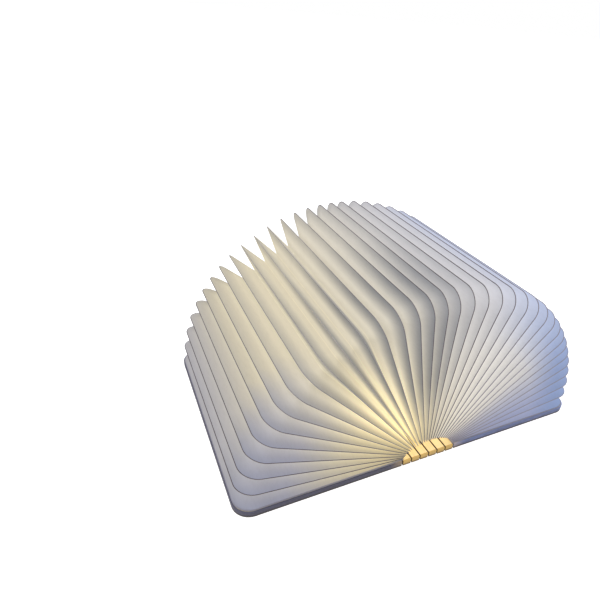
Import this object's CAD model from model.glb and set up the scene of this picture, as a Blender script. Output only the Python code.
import math

import bmesh
import bpy
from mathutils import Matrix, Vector


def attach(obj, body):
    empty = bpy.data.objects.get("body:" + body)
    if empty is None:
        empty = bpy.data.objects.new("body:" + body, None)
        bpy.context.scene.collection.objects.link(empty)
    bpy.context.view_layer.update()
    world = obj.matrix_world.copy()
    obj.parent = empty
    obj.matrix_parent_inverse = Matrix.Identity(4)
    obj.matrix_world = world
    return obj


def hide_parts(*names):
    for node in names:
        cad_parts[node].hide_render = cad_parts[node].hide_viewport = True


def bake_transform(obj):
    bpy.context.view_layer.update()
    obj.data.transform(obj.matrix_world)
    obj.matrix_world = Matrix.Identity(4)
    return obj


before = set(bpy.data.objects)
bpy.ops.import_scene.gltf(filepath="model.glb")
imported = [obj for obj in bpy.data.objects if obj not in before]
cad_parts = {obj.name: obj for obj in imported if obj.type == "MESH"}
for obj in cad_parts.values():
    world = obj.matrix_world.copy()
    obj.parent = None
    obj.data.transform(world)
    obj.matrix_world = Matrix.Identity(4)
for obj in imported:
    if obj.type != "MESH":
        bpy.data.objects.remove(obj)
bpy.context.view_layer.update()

mm = 0.001

# the camera comes first, so that the framing is settled before anything is made
cameraView = {
    "place": (-0.1231, -0.1907, 0.18355),
    "turn": (57.621, -4.497, -25.989),      # degrees about X, Y and Z
    "lens": 29.565,
    "shift": (-0.0813, 0.0370),
    "clip": (0.01, 20),
}


def addCamera(view):
    bpy.ops.object.camera_add(location=view["place"],
                              rotation=[math.radians(angle) for angle in view["turn"]])
    camera = bpy.context.object
    camera.name = "camera"
    camera.data.lens = view["lens"]
    camera.data.shift_x, camera.data.shift_y = view["shift"]
    camera.data.clip_start, camera.data.clip_end = view["clip"]
    bpy.context.scene.camera = camera


addCamera(cameraView)
bpy.context.scene.view_settings.view_transform = "Standard"
print("camera set")


class Field:
    # a shader socket that can be used in a Python expression
    def __init__(self, tree, socket):
        self.tree = tree
        self.socket = socket

    def calculate(self, operation, first, second=0.0):
        return addNode(self.tree, "Math", {"operation": operation}, {0: first, 1: second})

    def __add__(self, other):
        return self.calculate("ADD", self, other)

    def __radd__(self, other):
        return self.calculate("ADD", other, self)

    def __sub__(self, other):
        return self.calculate("SUBTRACT", self, other)

    def __rsub__(self, other):
        return self.calculate("SUBTRACT", other, self)

    def __mul__(self, other):
        return self.calculate("MULTIPLY", self, other)

    def __rmul__(self, other):
        return self.calculate("MULTIPLY", other, self)

    def __truediv__(self, other):
        return self.calculate("DIVIDE", self, other)

    def __rtruediv__(self, other):
        return self.calculate("DIVIDE", other, self)

    def __pow__(self, other):
        return self.calculate("POWER", self, other)

    def __abs__(self):
        return self.calculate("ABSOLUTE", self)


def addNode(tree, kind, settings=None, values=None, output=0):
    node = tree.nodes.new("ShaderNode" + kind)
    for name, setting in (settings or {}).items():
        setattr(node, name, setting)
    for name, value in (values or {}).items():
        feed(tree, node.inputs[name], value)
    return Field(tree, node.outputs[output])


def feed(tree, socket, value):
    if isinstance(value, Field):
        tree.links.new(value.socket, socket)
    elif socket.type == "RGBA" and len(value) == 3:
        socket.default_value = (*value, 1)
    else:
        socket.default_value = value


def rgb(red, green, blue):
    # a colour as it is seen on screen, turned into light
    seen = (red / 255, green / 255, blue / 255)
    return tuple(c / 12.92 if c <= 0.04045 else ((c + 0.055) / 1.055) ** 2.4 for c in seen)


def newMaterial(name):
    material = bpy.data.materials.new(name)
    material.use_nodes = True
    tree = material.node_tree
    return material, tree, tree.nodes["Principled BSDF"]


def coordinates(tree, kind="Object"):
    # a piece that bends keeps its pattern by the place that it has in the open lamp
    if kind == "open":
        return addNode(tree, "Attribute", {"attribute_name": "openPlace"}, output=1)
    return addNode(tree, "TexCoord", output={"Object": 3, "UV": 2}[kind])


def keepOpenPlace(piece):
    attribute = piece.data.attributes.new("openPlace", "FLOAT_VECTOR", "POINT")
    for vertex, value in zip(piece.data.vertices, attribute.data):
        value.vector = vertex.co


def split(tree, vector):
    node = addNode(tree, "SeparateXYZ", values={0: vector}).socket.node
    return [Field(tree, node.outputs[n]) for n in range(3)]


def stretched(tree, vector, scale):
    return addNode(tree, "Mapping", values={"Vector": vector, "Scale": scale})


def noise(tree, vector, scale, detail=3.0, roughness=0.5):
    return addNode(tree, "TexNoise", values={
        "Vector": vector, "Scale": scale, "Detail": detail, "Roughness": roughness})


def between(tree, value, low, high, bottom=0.0, top=1.0):
    # bottom at low, top at high, even between them and clamped outside
    return addNode(tree, "MapRange", {"clamp": True}, {
        "Value": value, "From Min": low, "From Max": high, "To Min": bottom, "To Max": top})


def varied(tree, grain, bottom=0.0, top=1.0):
    # nearly all of a noise lies between 0.3 and 0.7
    return between(tree, grain, 0.3, 0.7, bottom, top)


def larger(tree, first, second):
    return addNode(tree, "Math", {"operation": "MAXIMUM"}, {0: first, 1: second})


def mixed(tree, factor, first, second, blend="MIX"):
    return addNode(tree, "Mix", {"data_type": "RGBA", "blend_type": blend},
                   {0: factor, 6: first, 7: second}, 2)


def dimmed(tree, share, colour):
    return mixed(tree, share, (0, 0, 0), colour)


def bumped(tree, shader, height, strength, distance):
    feed(tree, shader.inputs["Normal"], addNode(tree, "Bump", values={
        "Height": height, "Strength": strength, "Distance": distance}))


def distanceFrom(x, z, line):
    # how far a point is from a line along Y
    dx, dz = x - line[0], z - line[1]
    return (dx * dx + dz * dz) ** 0.5


# sizes that several pieces share, the same as the model's
lamp = {
    "spineHalf": 15 * mm,
    "slats": 12,
    "slatPitch": 2.5 * mm,
    "kerf": 0.8 * mm,                       # the width of the laser's cuts
    "boardT": 3 * mm,
    "axisZ": 1.5 * mm,                      # halfway through the board
    "coverW": 81 * mm,
    "coverHalfH": 61 * mm,
    "coverR": 8.5 * mm,
}


# two numbers are where a tone starts and where it is full, and two more its strength
# there; lean is the sine of the angle from upright, and reach the distance from the
# middle of the spine
paperLook = {
    "sheet": (0.70, 0.685, 0.67),           # the sheet in daylight
    "cream": (0.68, 0.635, 0.535),          # and on the side where the lamp wins
    "creamLean": (-0.6, 0.0),
    "lavender": (0.46, 0.475, 0.62),        # the cooler turn of the outermost folds
    "duskNear": (0.42, 0.46, 0.68),         # the same on the back half, by the spine
    "duskFar": (0.55, 0.60, 0.82),
    "duskReach": (20 * mm, 65 * mm),
    "duskLean": (0.0, 0.5),
    "lowBack": (0.80, 0.985),               # the lean of the lowest folds
    "lowFront": (-0.86, -0.99),
    "lowFrontReach": (30 * mm, 75 * mm),
    "lowFrontShare": 0.6,
    "cornerReach": (46 * mm, 74 * mm),      # the front corner by the tail
    "cornerLean": (-0.66, -0.92),
    "cornerY": (-30 * mm, -58 * mm),
    "cornerDusk": (0.33, 0.35, 0.46),
    "cornerDuskReach": (76 * mm, 96 * mm),
    "cornerDuskShare": 0.7,
    "outerReach": (60 * mm, 84 * mm),
    "outerX": (-20 * mm, 50 * mm),
    "outerShare": 0.55,
    "blue": (0.42, 0.53, 0.80),             # the rim that faces away from the lamp
    "rimReach": (66 * mm, 84 * mm),
    "rimLean": (0.25, 0.90),
    "shade": (0.13, 0.155, 0.22),           # the dusk near a ridge
    "shadeDepth": (0.6, 0.0),
    "shadeLeast": 0.12,
    "bendShade": 0.52,                      # darker where the folds stand in each other's way
    "bendMiddle": -0.30,
    "bendLean": (0.45, 0.18),
    "bendY": (10 * mm, -36 * mm),
    "bendReach": (22 * mm, 50 * mm),
    "fibres": (900, 260, 900),              # how fine they are along X, Y and Z
    "fibreTint": (0.95, 1.03),
    "clouds": 70.0,
    "cloudTint": (0.96, 1.04),
    "roughness": 0.86,
    "specular": 0.25,
    "glow": 0.72,
    "brightest": (-12 * mm, 10 * mm),       # where the bar shines through most, in x and z
    "falloff": 50 * mm,                     # how far the warm light carries
    "falloffPower": 2.5,
    "glowByDepth": (0.0, 0.55, 0.25, 0.92),
    "glowInValley": (0.93, 1.0, 0.0, 0.50),
    "warm": (1.0, 0.83, 0.42),              # the lamp's light through the sheet, near the bar
    "pale": (1.0, 0.89, 0.59),              # and far from it
    "paler": (1.0, 0.93, 0.80),
    "warmReach": (8 * mm, 60 * mm),
    "palerLean": (-0.6, 0.1),
    "window": 0.26,                         # daylight through the back folds
    "windowColour": (1.0, 0.97, 0.98),
    "windowLean": (-0.1, 0.5),
    "windowDepth": (0.0, 0.6, 0.5, 1.0),
    "windowRim": 0.7,
}


def makePaper(look):
    material, tree, shader = newMaterial("spunPaper")
    place = coordinates(tree, "open")
    x, y, z = split(tree, place)
    reach = distanceFrom(x, z, (0, 0))
    lean = x / reach
    across = split(tree, coordinates(tree, "UV"))[1]
    depth = 1 - abs(across * 2 - 1)         # 0 at a ridge, 1 in the valley

    def span(value, name):
        return between(tree, value, *look[name])

    # the sheet's own colour, with the dusk that lies in its folds
    low = (span(lean, "lowBack")
           + span(lean, "lowFront") * span(reach, "lowFrontReach") * look["lowFrontShare"])
    corner = span(reach, "cornerReach") * span(y, "cornerY") * span(lean, "cornerLean")
    outer = span(reach, "outerReach") * span(x, "outerX")
    cool = larger(tree, low, corner + outer * look["outerShare"])
    rim = span(reach, "rimReach") * span(lean, "rimLean")
    dusk = mixed(tree, span(reach, "duskReach"), look["duskNear"], look["duskFar"])
    dusk = mixed(tree, span(lean, "duskLean"), look["lavender"], dusk)
    body = mixed(tree, span(lean, "creamLean"), look["cream"], look["sheet"])
    body = mixed(tree, cool, body, dusk)
    body = mixed(tree, span(reach, "cornerDuskReach") * corner * look["cornerDuskShare"],
                 body, look["cornerDusk"])
    body = mixed(tree, rim, body, look["blue"])
    bend = (span(abs(lean - look["bendMiddle"]), "bendLean") * span(y, "bendY")
            * span(reach, "bendReach"))
    shade = span(depth, "shadeDepth") * (bend * look["bendShade"] + look["shadeLeast"])
    body = mixed(tree, shade, body, look["shade"])
    fibres = noise(tree, stretched(tree, place, look["fibres"]), 1.0, 5.0, 0.62)
    feed(tree, shader.inputs["Base Color"],
         dimmed(tree, varied(tree, fibres, *look["fibreTint"]), body))
    shader.inputs["Roughness"].default_value = look["roughness"]
    shader.inputs["Specular IOR Level"].default_value = look["specular"]

    # the light that comes through it, from the bar and from the daylight behind
    fromBar = distanceFrom(x, z, look["brightest"])
    carried = 1 / (1 + (fromBar / look["falloff"]) ** look["falloffPower"])
    inside = span(depth, "glowByDepth") + span(depth, "glowInValley")
    clouds = noise(tree, place, look["clouds"], 2.0)
    strength = carried * inside * (1 - shade) * varied(tree, clouds, *look["cloudTint"])
    far = mixed(tree, span(lean, "palerLean"), look["pale"], look["paler"])
    lamplight = dimmed(tree, strength,
                       mixed(tree, span(fromBar, "warmReach"), look["warm"], far))
    window = (span(lean, "windowLean") * (1 - low) * (1 - rim * look["windowRim"])
              * span(depth, "windowDepth"))
    daylight = dimmed(tree, window * look["window"], look["windowColour"])
    feed(tree, shader.inputs["Emission Color"], mixed(tree, 1.0, lamplight, daylight, "ADD"))
    shader.inputs["Emission Strength"].default_value = look["glow"]
    bumped(tree, shader, fibres, 0.2, 0.1 * mm)
    return material


# the lip where two strips are bonded, fainter towards the back cover
seamLook = {
    "lip": rgb(92, 84, 94),
    "cutEdge": rgb(196, 190, 188),          # seen on the closed lamp
    "faint": rgb(176, 171, 184),
    "faintShare": 0.85,
    "faintLean": (0.2, 0.85),
    "tint": (0.85, 1.12),
    "roughness": 0.85,
}


def makeSeam(name, colour, look):
    material, tree, shader = newMaterial(name)
    place = coordinates(tree)
    x, _, z = split(tree, place)
    faint = between(tree, x / distanceFrom(x, z, (0, 0)), *look["faintLean"])
    fibres = noise(tree, place, 900.0, 4.0, 0.6)
    body = mixed(tree, faint * look["faintShare"], colour, look["faint"])
    feed(tree, shader.inputs["Base Color"],
         dimmed(tree, varied(tree, fibres, *look["tint"]), body))
    shader.inputs["Roughness"].default_value = look["roughness"]
    bumped(tree, shader, fibres, 0.2, 0.1 * mm)
    return material


woodLook = {
    "pale": rgb(226, 217, 196),
    "dark": rgb(206, 192, 162),
    "burnt": rgb(60, 50, 46),
    # how fine each pattern is along X, Y and Z, where Y is along the spine
    "wander": (60, 12, 60),
    "grain": (2600, 70, 600),
    "pores": (5200, 260, 5200),
    "soot": (160, 160, 700),
    "plies": 330.0,
    "innerPlyZ": (0.9 * mm, 1.4 * mm),
    "edgeZ": (1.40 * mm, 1.36 * mm),        # a cut edge shows from here, off the middle
    "backHalfX": (-10 * mm, 10 * mm),
    "scorch": (1.1 * mm, 0.6 * mm),         # the laser's brown line, in from the outline
    "scorchZ": (1.0 * mm, 2.0 * mm, 0.35, 1.0),
    "roughness": 0.62,
    "specular": 0.35,
    # a cut edge, inner and outer ply, on the front half and on the back half
    "coverEdge": (rgb(92, 92, 112), rgb(60, 58, 64), rgb(134, 146, 190), rgb(66, 62, 74)),
    "slatEdge": (rgb(104, 78, 54), rgb(70, 52, 40), rgb(104, 78, 54), rgb(70, 52, 40)),
    "lit": rgb(255, 214, 120),              # the lamp's light on the wood
    "litX": (22 * mm, 14 * mm),
    "litZ": (0.0, 1.6 * mm),
    "litEnds": 0.3 * mm,
    "litEndShare": 0.85,
    "glow": 0.6,
}


def insideCover(tree, x, y):
    # how far a place lies in from the cut outline of a cover
    outX = larger(tree, abs(x) - lamp["spineHalf"] - (lamp["coverW"] - lamp["coverR"]), 0.0)
    outY = larger(tree, abs(y) - lamp["coverHalfH"] + lamp["coverR"], 0.0)
    return lamp["coverR"] - (outX * outX + outY * outY) ** 0.5


def makePlywood(name, look, edges, lit, kind):
    material, tree, shader = newMaterial(name)
    place = coordinates(tree, kind)
    x, y, z = split(tree, place)

    def pattern(part, detail, roughness=0.5):
        return noise(tree, stretched(tree, place, look[part]), 1.0, detail, roughness)

    grain = pattern("grain", 4.0, 0.6)
    pores = pattern("pores", 2.0)
    soot = pattern("soot", 4.0, 0.7)
    streak = (between(tree, grain, 0.32, 0.7) * 0.6
              + varied(tree, pattern("wander", 2.0)) * 0.4)
    face = mixed(tree, streak, look["pale"], look["dark"])
    face = mixed(tree, between(tree, pores, 0.6, 0.75, 0.0, 0.35), face, look["burnt"])

    # the cut edge, with its plies and the soot on them
    frontInner, frontOuter, backInner, backOuter = edges
    back = between(tree, x, *look["backHalfX"])
    cut = mixed(tree, between(tree, z, *look["innerPlyZ"]),
                mixed(tree, back, frontOuter, backOuter),
                mixed(tree, back, frontInner, backInner))
    plies = addNode(tree, "TexWave", {"bands_direction": "Z"}, {
        "Vector": place, "Scale": look["plies"], "Distortion": 1.0, "Detail": 2.0})
    edge = mixed(tree, between(tree, soot, 0.3, 0.75, 0.0, 0.5) + plies * 0.15,
                 cut, look["burnt"])
    scorch = between(tree, insideCover(tree, x, y) + soot * 0.3 * mm, *look["scorch"])
    face = mixed(tree, scorch * between(tree, z, *look["scorchZ"]), face, cut)
    cutEdge = between(tree, abs(z - lamp["axisZ"]), *look["edgeZ"])
    feed(tree, shader.inputs["Base Color"], mixed(tree, cutEdge, face, edge))
    shader.inputs["Roughness"].default_value = look["roughness"]
    shader.inputs["Specular IOR Level"].default_value = look["specular"]

    # the lamp shines on the inner face by the spine, and on the ends of the board
    ends = between(tree, abs(y), lamp["coverHalfH"] - look["litEnds"], lamp["coverHalfH"])
    inner = between(tree, z, *look["litZ"]) * between(tree, abs(x), *look["litX"])
    inner = inner * (1 - cutEdge * (1 - ends * look["litEndShare"])) * (1 - streak * 0.3)
    feed(tree, shader.inputs["Emission Color"], dimmed(tree, inner * lit, look["lit"]))
    shader.inputs["Emission Strength"].default_value = look["glow"]
    bumped(tree, shader, grain * 0.7 + pores * 0.3, 0.3, 0.15 * mm)
    return material


def makePlain(name, colour, roughness, metallic=0.0, grainScale=900.0, spread=0.1,
              stretch=(1, 1, 1), coat=0.0, depth=0.05 * mm, glow=None):
    material, tree, shader = newMaterial(name)
    grain = noise(tree, stretched(tree, coordinates(tree), stretch), grainScale, 4.0, 0.6)
    feed(tree, shader.inputs["Base Color"],
         dimmed(tree, varied(tree, grain, 1 - spread, 1 + spread), colour))
    feed(tree, shader.inputs["Roughness"],
         varied(tree, grain, roughness - 0.06, roughness + 0.06))
    shader.inputs["Metallic"].default_value = metallic
    shader.inputs["Coat Weight"].default_value = coat
    if glow:
        shader.inputs["Emission Color"].default_value = (*glow, 1)
        shader.inputs["Emission Strength"].default_value = 1.0
    bumped(tree, shader, grain, 0.2, depth)
    return material


paper = makePaper(paperLook)
seam = makeSeam("paperSeam", seamLook["lip"], seamLook)
seamEdge = makeSeam("paperSeamEdge", seamLook["cutEdge"], seamLook)
endPaper = makePlain("endPaper", rgb(164, 163, 178), 0.85, spread=0.05, stretch=(1, 0.3, 1),
                     depth=0.1 * mm)
coverPly = makePlywood("coverPlywood", woodLook, woodLook["coverEdge"], 0.5, "Object")
spinePly = makePlywood("spinePlywood", woodLook, woodLook["slatEdge"], 1.0, "open")
print("paper and plywood mixed")


# leaves are numbered from the front end sheet, -17, over the middle one, 0, to the back
# end sheet, 17
fan = {
    "cells": 17,
    "leafL": 81.2 * mm,
    "leafHalfH": 60.4 * mm,
    "cornerR": 8.6 * mm,
    "foreInset": 0.4 * mm,                  # the leaves stop this short of the covers
    "endSheetZ": 3.45 * mm,
    "frontGather": 4.7,                     # degrees that the leaves crowd together
    "backGather": 0.5,
    "ripple": 1.0,
}
pleat = {
    "depth": 13 * mm,
    "start": 0.6 * mm,
    "valleyR": 2 * mm,
    "lipProud": 0.35 * mm,                  # how far the bonded lip stands past the folds
    "lipW": 1.3 * mm,
    "lipT": 0.15 * mm,
    "paperT": 0.10 * mm,
    "endSheetT": 0.3 * mm,
    "glueGap": 0.01 * mm,
    "bendHalf": 0.15 * mm,                  # a fold bends over twice this width
    "sideSteps": 10,
    "cornerSteps": 9,
    "foreSteps": 10,
}
# how far the slats lie from the middle of the closed spine, where each turns by 15 degrees
apothem = lamp["slatPitch"] / (2 * math.tan(math.radians(7.5)))
closedPitch = (apothem + lamp["axisZ"] - fan["endSheetZ"]) / fan["cells"]


def leafAngle(j):
    # degrees from upright
    k = abs(j) / fan["cells"]
    gather = fan["frontGather"] if j < 0 else fan["backGather"]
    size = 90 * k - gather * math.sin(math.pi * k) - fan["ripple"] * math.sin(3 * math.pi * k)
    return math.copysign(size, j)


def leafFrame(j):
    # where a leaf starts, and its directions outwards and square to its face
    turn = math.radians(leafAngle(j))
    along = Vector((math.sin(turn), 0, math.cos(turn)))
    normal = Vector((math.cos(turn), 0, -math.sin(turn)))
    reach = apothem * math.cos(turn) + lamp["coverW"] - fan["foreInset"] - fan["leafL"]
    side = j * closedPitch - apothem * math.sin(turn)
    hinge = Vector((lamp["spineHalf"] * leafAngle(j) / 90, 0, lamp["axisZ"]))
    return hinge + along * reach + normal * side, along, normal


def onLeaf(j, spot, off):
    root, along, normal = leafFrame(j)
    return root + along * spot[0] + Vector((0, spot[1], 0)) + normal * off


def bodyOf(j):
    ends = {-fan["cells"]: "front_end_sheet", 0: "spine", fan["cells"]: "back_end_sheet"}
    return ends.get(j) or "leaf_%02d" % (j + fan["cells"])


def sidePath(inset, radius):
    # tail side, fore-edge and head side of a leaf, moved in by inset
    x = fan["leafL"] - inset - radius
    y = fan["leafHalfH"] - inset - radius
    spots = []
    for n in range(pleat["sideSteps"]):
        share = n / pleat["sideSteps"]
        spots.append((pleat["start"] + (x - pleat["start"]) * share, -y - radius))
    for n in range(pleat["cornerSteps"] + 1):
        a = math.pi / 2 * (n / pleat["cornerSteps"] - 1)
        spots.append((x + radius * math.cos(a), -y + radius * math.sin(a)))
    for n in range(1, pleat["foreSteps"]):
        spots.append((x + radius, -y + 2 * y * n / pleat["foreSteps"]))
    return spots + [(u, -v) for u, v in reversed(spots[:-(pleat["foreSteps"] - 1)])]


def deselectAll():
    if bpy.context.object and bpy.context.object.mode != "OBJECT":
        bpy.ops.object.mode_set(mode="OBJECT")
    bpy.ops.object.select_all(action="DESELECT")


def applyModifier(piece, kind, **settings):
    modifier = piece.modifiers.new(kind.lower(), kind)
    for name, setting in settings.items():
        setattr(modifier, name, setting)
    bpy.ops.object.modifier_apply(modifier=modifier.name)


def shapedGrid(name, rows):
    # a grid whose rows of points are put in place one by one
    deselectAll()
    bpy.ops.mesh.primitive_grid_add(x_subdivisions=len(rows[0]) - 1,
                                    y_subdivisions=len(rows) - 1, size=1)
    piece = bpy.context.object
    piece.name = name
    points = [point for row in rows for point in row]
    for vertex, point in zip(piece.data.vertices, points):
        vertex.co = point
    return piece


def thicken(piece, thickness):
    applyModifier(piece, "SOLIDIFY", thickness=thickness, offset=0)
    bpy.ops.object.mode_set(mode="EDIT")
    bpy.ops.mesh.select_all(action="SELECT")
    bpy.ops.mesh.normals_make_consistent(inside=False)
    bpy.ops.object.mode_set(mode="OBJECT")


def smoothWithSharpRim(piece):
    # soft across the valley, crisp where the sheet is cut
    bpy.ops.object.shade_smooth()
    sharpest = math.radians(60)
    rimWidth = pleat["paperT"] * 2.5
    mesh = bmesh.new()
    mesh.from_mesh(piece.data)
    for edge in mesh.edges:
        onRim = any(min(side.calc_length() for side in face.edges) < rimWidth
                    for face in edge.link_faces)
        if onRim and len(edge.link_faces) == 2 and edge.calc_face_angle(0) > sharpest:
            edge.smooth = False
    mesh.to_mesh(piece.data)
    mesh.free()


def makeFold(j):
    ridge = sidePath(pleat["lipProud"], fan["cornerR"] - pleat["lipProud"])
    valley = sidePath(pleat["depth"], pleat["valleyR"])
    lipLift, endLift = [sheet / 2 + pleat["paperT"] / 2 + pleat["glueGap"]
                        for sheet in (pleat["lipT"], pleat["endSheetT"])]
    near = endLift if j == -fan["cells"] else lipLift
    far = endLift if j + 1 == fan["cells"] else lipLift
    rows = [
        [onLeaf(j, spot, near) for spot in ridge],
        [(onLeaf(j, spot, 0) + onLeaf(j + 1, spot, 0)) / 2 for spot in valley],
        [onLeaf(j + 1, spot, -far) for spot in ridge],
    ]
    piece = shapedGrid("fold_%02d" % (j + fan["cells"] + 1), rows)
    thicken(piece, pleat["paperT"])
    smoothWithSharpRim(piece)
    keepOpenPlace(piece)
    piece.data.materials.append(paper)
    (root, along, _), (nextRoot, nextAlong, _) = leafFrame(j), leafFrame(j + 1)
    middle = (root + nextRoot) / 2
    outwards = (along + nextAlong).normalized()
    normal = Vector((outwards.z, 0, -outwards.x))
    middle - normal * pleat["bendHalf"]
    middle + normal * pleat["bendHalf"]
    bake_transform(piece)
    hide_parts("paper_folds")


def makeLip(j):
    outer = sidePath(0, fan["cornerR"])
    inner = sidePath(pleat["lipW"], fan["cornerR"] - pleat["lipW"])
    rows = [[onLeaf(j, spot, 0) for spot in path] for path in (outer, inner)]
    number = j + fan["cells"]
    piece = shapedGrid("seam_%02d" % number, rows)
    thicken(piece, pleat["lipT"])
    bpy.ops.object.shade_smooth_by_angle(angle=math.radians(40))
    piece.data.materials.append(seam)
    piece.data.materials.append(seamEdge)
    for face in piece.data.polygons:
        face.material_index = int(abs(face.normal.dot(leafFrame(j)[2])) < 0.5)
    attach(piece, bodyOf(j))
    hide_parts("leaf_%02d" % number)


for j in range(-fan["cells"], fan["cells"]):
    makeFold(j)
for j in range(1 - fan["cells"], fan["cells"]):
    makeLip(j)
print("bellows folded")


slat = {
    "endBridge": 7.7 * mm,
    "midBridge": 8 * mm,
    "notch": 0.1 * mm,                      # the step from a bridge to the free slat
    "steps": 18,
    "softAngle": math.radians(30),
}


def slatBodies(n):
    # the body that holds slat n at its ends, and the one that holds it halfway
    ends = "spine_end_%d" % ((n + 1) // 2)
    middles = {1: "front_cover", lamp["slats"]: "back_cover",
               lamp["slats"] // 2: "spine", lamp["slats"] // 2 + 1: "spine"}
    return ends, middles.get(n) or "spine_mid_%d" % (n // 2)


def makeSlat(n, side):
    # half a slat, from its bridge at the tail or the head to its bridge halfway
    left = (n - 1) * lamp["slatPitch"] - lamp["spineHalf"] + lamp["kerf"] / 2
    right = left + lamp["slatPitch"] - lamp["kerf"]
    towardsPair = 1 if n % 2 else -1
    endReach = lamp["kerf"] / 2
    midReach = lamp["kerf"] if n in (1, lamp["slats"]) else lamp["kerf"] / 2
    endY = lamp["coverHalfH"] - slat["endBridge"]
    midY = slat["midBridge"] / 2

    def row(y, reach, direction):
        first = left - (reach if direction < 0 else 0)
        last = right + (reach if direction > 0 else 0)
        return [Vector((x, side * y, lamp["axisZ"])) for x in (first, (first + last) / 2, last)]

    rows = [row(lamp["coverHalfH"], endReach, towardsPair), row(endY, endReach, towardsPair)]
    for step in range(slat["steps"] + 1):
        share = step / slat["steps"]
        rows.append(row(endY - slat["notch"] + (midY + 2 * slat["notch"] - endY) * share, 0, 1))
    rows += [row(midY, midReach, -towardsPair), row(0, midReach, -towardsPair)]
    piece = shapedGrid("slat_%02d_%s" % (n, "head" if side > 0 else "tail"), rows)
    thicken(piece, lamp["boardT"])
    bpy.ops.object.shade_smooth_by_angle(angle=slat["softAngle"])
    keepOpenPlace(piece)
    piece.data.materials.append(spinePly)
    ends, middle = slatBodies(n)
    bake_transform(piece)
    bridges = [ends] if middle.endswith("cover") else [ends, "spine_mid_%d" % (n // 2)]
    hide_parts(*bridges)


cover = {
    "cornerSteps": 16,
    "magnetX": 88 * mm,
    "magnetY": 40 * mm,
    "pocketR": 3.05 * mm,
    "pocketDepth": 2.1 * mm,
    "pocketSides": 48,
    "edgeR": 0.08 * mm,
    "edgeSteps": 2,
    "sharpAngle": math.radians(60),
    "softAngle": math.radians(30),
}


def makeCover(name, side):
    deselectAll()
    inner = lamp["spineHalf"] + lamp["kerf"] / 2
    outer = lamp["spineHalf"] + lamp["coverW"]
    bpy.ops.mesh.primitive_plane_add(size=1,
                                     location=(side * (inner + outer) / 2, 0, lamp["axisZ"]))
    piece = bpy.context.object
    piece.name = name + "_board"
    piece.scale = (outer - inner, 2 * lamp["coverHalfH"], 1)
    bpy.ops.object.transform_apply(location=True, rotation=True, scale=True)

    # only the two corners away from the spine are round
    for part in (*piece.data.edges, *piece.data.polygons):
        part.select = False
    for vertex in piece.data.vertices:
        vertex.select = abs(vertex.co.x) > (inner + outer) / 2
    bpy.context.tool_settings.mesh_select_mode = (True, False, False)
    bpy.ops.object.mode_set(mode="EDIT")
    bpy.ops.mesh.bevel(offset=lamp["coverR"], segments=cover["cornerSteps"],
                       affect="VERTICES")
    bpy.ops.object.mode_set(mode="OBJECT")
    thicken(piece, lamp["boardT"])
    for end in (-1, 1):
        deselectAll()
        bpy.ops.mesh.primitive_cylinder_add(
            vertices=cover["pocketSides"], radius=cover["pocketR"],
            depth=2 * cover["pocketDepth"],
            location=(side * cover["magnetX"], end * cover["magnetY"], lamp["boardT"]))
        pocket = bpy.context.object
        bpy.context.view_layer.objects.active = piece
        applyModifier(piece, "BOOLEAN", object=pocket)
        bpy.data.objects.remove(pocket)
    deselectAll()
    piece.select_set(True)
    bpy.context.view_layer.objects.active = piece
    applyModifier(piece, "BEVEL", width=cover["edgeR"], segments=cover["edgeSteps"],
                  limit_method="ANGLE", angle_limit=cover["sharpAngle"])
    bpy.ops.object.shade_smooth_by_angle(angle=cover["softAngle"])
    piece.data.materials.append(coverPly)
    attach(piece, name)
    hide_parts(name)


for n in range(1, lamp["slats"] + 1):
    for side in (-1, 1):
        makeSlat(n, side)
makeCover("front_cover", -1)
makeCover("back_cover", 1)
print("plywood cut")


# the solid parts keep their shape and get a finish
magnetNickel = makePlain("magnetNickel", rgb(198, 198, 202), 0.16, 1.0, 700.0, 0.04)
finishes = {
    "front_end_sheet": endPaper,
    "back_end_sheet": endPaper,
    "foam_pad": makePlain("foamTape", rgb(44, 44, 46), 0.9, grainScale=2200.0, spread=0.3,
                          depth=0.2 * mm),
    "light_tray": makePlain("trayPlastic", rgb(232, 231, 226), 0.45, grainScale=1500.0,
                            spread=0.03),
    "pouch_cell": makePlain("cellFoil", rgb(196, 198, 204), 0.3, 0.9, 420.0, 0.06,
                            stretch=(1, 0.3, 1), depth=0.3 * mm),
    "charge_board": makePlain("greenBoard", rgb(22, 104, 58), 0.35, grainScale=600.0,
                              spread=0.12, coat=0.4),
    "charge_socket": makePlain("socketSteel", rgb(190, 190, 194), 0.28, 1.0, 900.0, 0.06,
                               stretch=(4, 0.3, 4)),
    "light_board": makePlain("whiteBoard", rgb(240, 240, 236), 0.4, grainScale=500.0,
                             spread=0.03, coat=0.3),
    "light_chips": makePlain("lightChip", rgb(255, 226, 140), 0.3, grainScale=800.0,
                             spread=0.05, glow=rgb(255, 226, 150)),
    "lid_sensor": makePlain("sensorPackage", rgb(26, 26, 28), 0.5, grainScale=2500.0,
                            spread=0.2),
    "cell_leads": makePlain("leadSleeve", rgb(168, 34, 26), 0.5, grainScale=1500.0,
                            spread=0.08),
    "front_magnets": magnetNickel,
    "back_magnets": magnetNickel,
}
for name, material in finishes.items():
    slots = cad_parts[name].data.materials
    slots.clear()
    slots.append(material)
print("solid parts finished")


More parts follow.
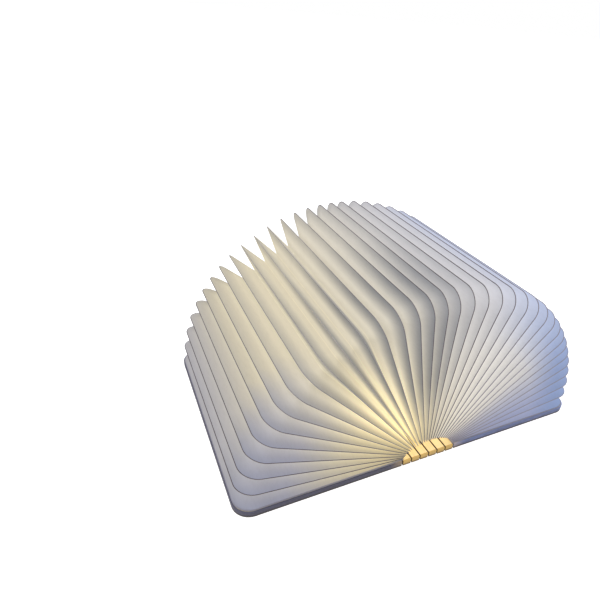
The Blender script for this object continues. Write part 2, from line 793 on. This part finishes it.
studio = {
    "ambient": 0.40,
    "floorSize": 30,
    "floorZ": -0.2 * mm,
    "floorColour": (0.80, 0.80, 0.81),
    "floorRoughness": 0.9,
    "floorSpecular": 0.1,
    "floorWhite": 0.78,
    "lights": [
        # name, place, size, power, colour
        ("keyLight", (-0.42, -0.80, 0.50), 0.6, 2.3, (1.0, 0.98, 0.95)),
        ("leftLight", (-0.60, 0.10, 0.78), 0.6, 2.4, (1.0, 0.99, 0.98)),
        ("fillLight", (0.80, -0.05, 0.24), 0.5, 1.5, (0.60, 0.76, 1.0)),
        ("topLight", (0.28, 0.10, 0.9), 0.8, 2.2, (0.92, 0.95, 1.0)),
    ],
}


def seenDirectly(tree):
    # 1 for what the camera sees, straight or by gloss or glass, and 0 for other light
    path = addNode(tree, "LightPath").socket.node
    direct, glossy, through = [Field(tree, path.outputs[name]) for name in
                               ("Is Camera Ray", "Is Glossy Ray", "Is Transmission Ray")]
    return addNode(tree, "Math", {"operation": "ADD", "use_clamp": True},
                   {0: direct + glossy, 1: through})


def setFloor(setup):
    deselectAll()
    bpy.ops.mesh.primitive_plane_add(size=setup["floorSize"], location=(0, 0, setup["floorZ"]))
    floor = bpy.context.object
    floor.name = "floor"
    material, tree, shader = newMaterial("floorPaper")
    shader.inputs["Base Color"].default_value = (*setup["floorColour"], 1)
    shader.inputs["Roughness"].default_value = setup["floorRoughness"]
    shader.inputs["Specular IOR Level"].default_value = setup["floorSpecular"]
    feed(tree, shader.inputs["Emission Color"], dimmed(tree, seenDirectly(tree), (1, 1, 1)))
    shader.inputs["Emission Strength"].default_value = setup["floorWhite"]
    floor.data.materials.append(material)


def setLight(setup):
    world = bpy.data.worlds.new("studio")
    bpy.context.scene.world = world
    world.use_nodes = True
    tree = world.node_tree
    background = tree.nodes["Background"]
    background.inputs["Color"].default_value = (1, 1, 1, 1)
    feed(tree, background.inputs["Strength"],
         between(tree, seenDirectly(tree), 0.0, 1.0, setup["ambient"], 1.0))
    for name, place, size, power, colour in setup["lights"]:
        bpy.ops.object.light_add(type="AREA", location=place)
        light = bpy.context.object
        light.name = name
        light.data.size = size
        light.data.energy = power
        light.data.color = colour
        light.rotation_euler = (-Vector(place)).to_track_quat("-Z", "Y").to_euler()


setFloor(studio)
setLight(studio)
print("studio lit")
